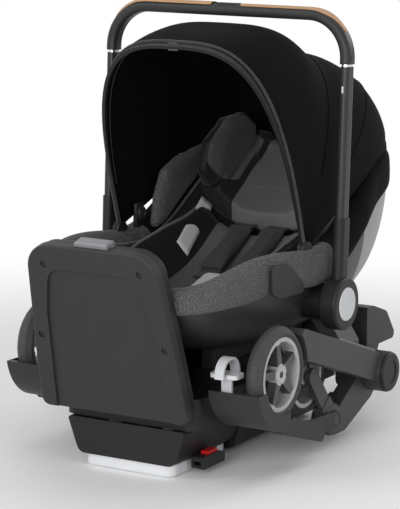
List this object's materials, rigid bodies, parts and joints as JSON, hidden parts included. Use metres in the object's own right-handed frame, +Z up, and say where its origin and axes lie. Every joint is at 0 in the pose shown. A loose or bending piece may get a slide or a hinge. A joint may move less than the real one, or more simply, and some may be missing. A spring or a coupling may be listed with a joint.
{
  "type": "infant car seat",
  "caption": "Infant car seat with canopy, carry handle and folded stroller wheels, on its vehicle base with an upright foot-end panel.",
  "frame": {"origin": "middle of the footprint, on the surface that the base stands on", "axes": "+X to the child's left, +Y to the child's head end, +Z up"},
  "size_m": [0.434, 0.6976, 0.6489],
  "materials": {
    "dark_plastic": "matte",
    "panel_plastic": "matte",
    "pad_rubber": "matte",
    "screw_steel": "matte",
    "pale_plastic": "satin",
    "grey_plastic": "matte",
    "red_plastic": "satin",
    "shell_plastic": "matte",
    "foam_cover": "matte",
    "heather_textile": "matte",
    "insert_textile": "matte",
    "black_textile": "matte",
    "webbing": "matte",
    "pad_mesh": "matte",
    "beam_metal": "satin",
    "strip_metal": "satin",
    "housing_plastic": "matte",
    "canopy_textile": "matte",
    "dark_metal": "satin",
    "bright_metal": "matte",
    "grip_plastic": "matte",
    "tan_leather": "matte",
    "rim_plastic": "matte",
    "tyre_rubber": "matte",
    "fender_plastic": "matte"
  },
  "bodies": {
    "base": {"base_pan": "dark_plastic", "base_pads": "pad_rubber", "base_shell": "dark_plastic", "panel_cover": "panel_plastic", "panel_back": "dark_plastic", "panel_screws": "screw_steel", "anchor_connectors": "dark_plastic"},
    "recline_foot": {"recline_foot": "pale_plastic"},
    "release_tab": {"seat_release_tab": "grey_plastic"},
    "anchor_button_right": {"anchor_button_right": "red_plastic"},
    "anchor_button_left": {"anchor_button_left": "red_plastic"},
    "seat": {"seat_shell": "shell_plastic", "seat_foam": "foam_cover", "seat_skirt": "heather_textile", "side_bolsters": "heather_textile", "body_insert": "insert_textile", "head_support": "black_textile", "harness_straps": "webbing", "harness_pads": "pad_mesh", "crotch_strap": "webbing", "buckle": "pale_plastic", "belt_guides": "dark_plastic", "handle_mount_right": "dark_plastic", "handle_mount_left": "dark_plastic", "beam_right": "beam_metal", "beam_left": "beam_metal", "beam_strips": "strip_metal", "knee_caps": "dark_plastic", "rear_housing": "housing_plastic", "canopy_pivots": "dark_plastic", "canopy_rear": "canopy_textile"},
    "buckle_button": {"buckle_button": "red_plastic"},
    "canopy": {"canopy_bow_front": "dark_plastic", "canopy_front": "canopy_textile"},
    "handle": {"handle_hub_right": "dark_plastic", "handle_hub_left": "dark_plastic"},
    "hub_button_right": {"hub_button_right": "pale_plastic"},
    "hub_button_left": {"hub_button_left": "pale_plastic"},
    "lower_tubes": {"lower_tube_right": "dark_metal", "lower_tube_left": "dark_metal"},
    "grip": {"upper_tubes": "bright_metal", "grip": "grip_plastic", "grip_trim": "tan_leather"},
    "grip_button": {"grip_button": "grip_plastic"},
    "leg_right": {"leg_right": "beam_metal"},
    "caster_fork_right": {"caster_fork_right": "beam_metal"},
    "caster_wheel_right": {"caster_rim_right": "rim_plastic", "caster_tyre_right": "tyre_rubber"},
    "wheel_bar_right": {"wheel_bar_right": "fender_plastic"},
    "wheel_right": {"wheel_rim_right": "rim_plastic", "wheel_tyre_right": "tyre_rubber"},
    "brake_pedal_right": {"brake_pedal_right": "pale_plastic"},
    "leg_left": {"leg_left": "beam_metal"},
    "caster_fork_left": {"caster_fork_left": "beam_metal"},
    "caster_wheel_left": {"caster_rim_left": "rim_plastic", "caster_tyre_left": "tyre_rubber"},
    "wheel_bar_left": {"wheel_bar_left": "fender_plastic"},
    "wheel_left": {"wheel_rim_left": "rim_plastic", "wheel_tyre_left": "tyre_rubber"},
    "brake_pedal_left": {"brake_pedal_left": "pale_plastic"}
  },
  "joints": [
    {"name": "recline_slide", "type": "slide", "parent": "base", "child": "recline_foot", "axis": [0, 0, -1], "range_m": [0, 0.03]},
    {"name": "release_press", "type": "slide", "parent": "base", "child": "release_tab", "axis": [0, 0.2462, -0.9692], "range_m": [0, 0.006], "stiffness_N_per_m": 400, "springref_m": -0.003},
    {"name": "anchor_press_right", "type": "slide", "parent": "base", "child": "anchor_button_right", "axis": [0, 0, -1], "range_m": [0, 0.004], "stiffness_N_per_m": 400, "springref_m": -0.003},
    {"name": "anchor_press_left", "type": "slide", "parent": "base", "child": "anchor_button_left", "axis": [0, 0, -1], "range_m": [0, 0.004], "stiffness_N_per_m": 400, "springref_m": -0.003},
    {"name": "seat_lift", "type": "slide", "parent": "base", "child": "seat", "axis": [0, 0, 1], "range_m": [0, 0.2]},
    {"name": "buckle_press", "type": "slide", "parent": "seat", "child": "buckle_button", "axis": [0, 0.3307, -0.9437], "range_m": [0, 0.003], "stiffness_N_per_m": 400, "springref_m": -0.003},
    {"name": "canopy_fold", "type": "hinge", "parent": "seat", "child": "canopy", "pos_m": [0, -0.024, 0.301], "axis": [1, 0, 0], "range_deg": [-27, 0], "deforming": ["canopy_front"]},
    {"name": "handle_fold", "type": "hinge", "parent": "seat", "child": "handle", "pos_m": [0, 0.007, 0.2205], "axis": [1, 0, 0], "range_deg": [-105, 75]},
    {"name": "hub_press_right", "type": "slide", "parent": "handle", "child": "hub_button_right", "axis": [-1, 0, 0], "range_m": [0, 0.004], "stiffness_N_per_m": 400, "springref_m": -0.003},
    {"name": "hub_press_left", "type": "slide", "parent": "handle", "child": "hub_button_left", "axis": [1, 0, 0], "range_m": [0, 0.004], "stiffness_N_per_m": 400, "springref_m": -0.003},
    {"name": "tube_extend", "type": "slide", "parent": "handle", "child": "lower_tubes", "axis": [0, 0.0523, 0.9986], "range_m": [0, 0.055]},
    {"name": "grip_extend", "type": "slide", "parent": "lower_tubes", "child": "grip", "axis": [0, 0.0523, 0.9986], "range_m": [0, 0.14]},
    {"name": "grip_press", "type": "slide", "parent": "grip", "child": "grip_button", "axis": [0, -0.0523, -0.9986], "range_m": [0, 0.004], "stiffness_N_per_m": 400, "springref_m": -0.003},
    {"name": "leg_fold_right", "type": "hinge", "parent": "seat", "child": "leg_right", "pos_m": [0.175, 0.15, 0.089], "axis": [1, 0, 0], "range_deg": [0, 70]},
    {"name": "caster_fold_right", "type": "hinge", "parent": "leg_right", "child": "caster_fork_right", "pos_m": [0.175, 0.025, 0.039], "axis": [1, 0, 0], "range_deg": [0, 73]},
    {"name": "bar_fold_right", "type": "hinge", "parent": "leg_right", "child": "wheel_bar_right", "pos_m": [0.19, 0.025, 0.039], "axis": [1, 0, 0], "range_deg": [-21, 0]},
    {"name": "caster_spin_right", "type": "hinge", "parent": "caster_fork_right", "child": "caster_wheel_right", "pos_m": [0.1615, -0.035, 0.116], "axis": [1, 0, 0], "continuous": true},
    {"name": "wheel_spin_right", "type": "hinge", "parent": "wheel_bar_right", "child": "wheel_right", "pos_m": [0.1935, -0.171, 0.151], "axis": [1, 0, 0], "continuous": true},
    {"name": "brake_press_right", "type": "hinge", "parent": "wheel_bar_right", "child": "brake_pedal_right", "pos_m": [0.15, -0.229, 0.118], "axis": [1, 0, 0], "range_deg": [0, 12]},
    {"name": "leg_fold_left", "type": "hinge", "parent": "seat", "child": "leg_left", "pos_m": [-0.175, 0.15, 0.089], "axis": [1, 0, 0], "range_deg": [0, 70]},
    {"name": "caster_fold_left", "type": "hinge", "parent": "leg_left", "child": "caster_fork_left", "pos_m": [-0.175, 0.025, 0.039], "axis": [1, 0, 0], "range_deg": [0, 73]},
    {"name": "bar_fold_left", "type": "hinge", "parent": "leg_left", "child": "wheel_bar_left", "pos_m": [-0.19, 0.025, 0.039], "axis": [1, 0, 0], "range_deg": [-21, 0]},
    {"name": "caster_spin_left", "type": "hinge", "parent": "caster_fork_left", "child": "caster_wheel_left", "pos_m": [-0.1615, -0.035, 0.116], "axis": [1, 0, 0], "continuous": true},
    {"name": "wheel_spin_left", "type": "hinge", "parent": "wheel_bar_left", "child": "wheel_left", "pos_m": [-0.1935, -0.171, 0.151], "axis": [1, 0, 0], "continuous": true},
    {"name": "brake_press_left", "type": "hinge", "parent": "wheel_bar_left", "child": "brake_pedal_left", "pos_m": [-0.15, -0.229, 0.118], "axis": [1, 0, 0], "range_deg": [0, 12]}
  ],
  "couplings": [
    {"joint": "caster_fold_right", "follows": "leg_fold_right", "ratio": 1.03},
    {"joint": "bar_fold_right", "follows": "leg_fold_right", "ratio": -0.29},
    {"joint": "leg_fold_left", "follows": "leg_fold_right", "ratio": 1},
    {"joint": "caster_fold_left", "follows": "leg_fold_right", "ratio": 1.03},
    {"joint": "bar_fold_left", "follows": "leg_fold_right", "ratio": -0.29}
  ]
}
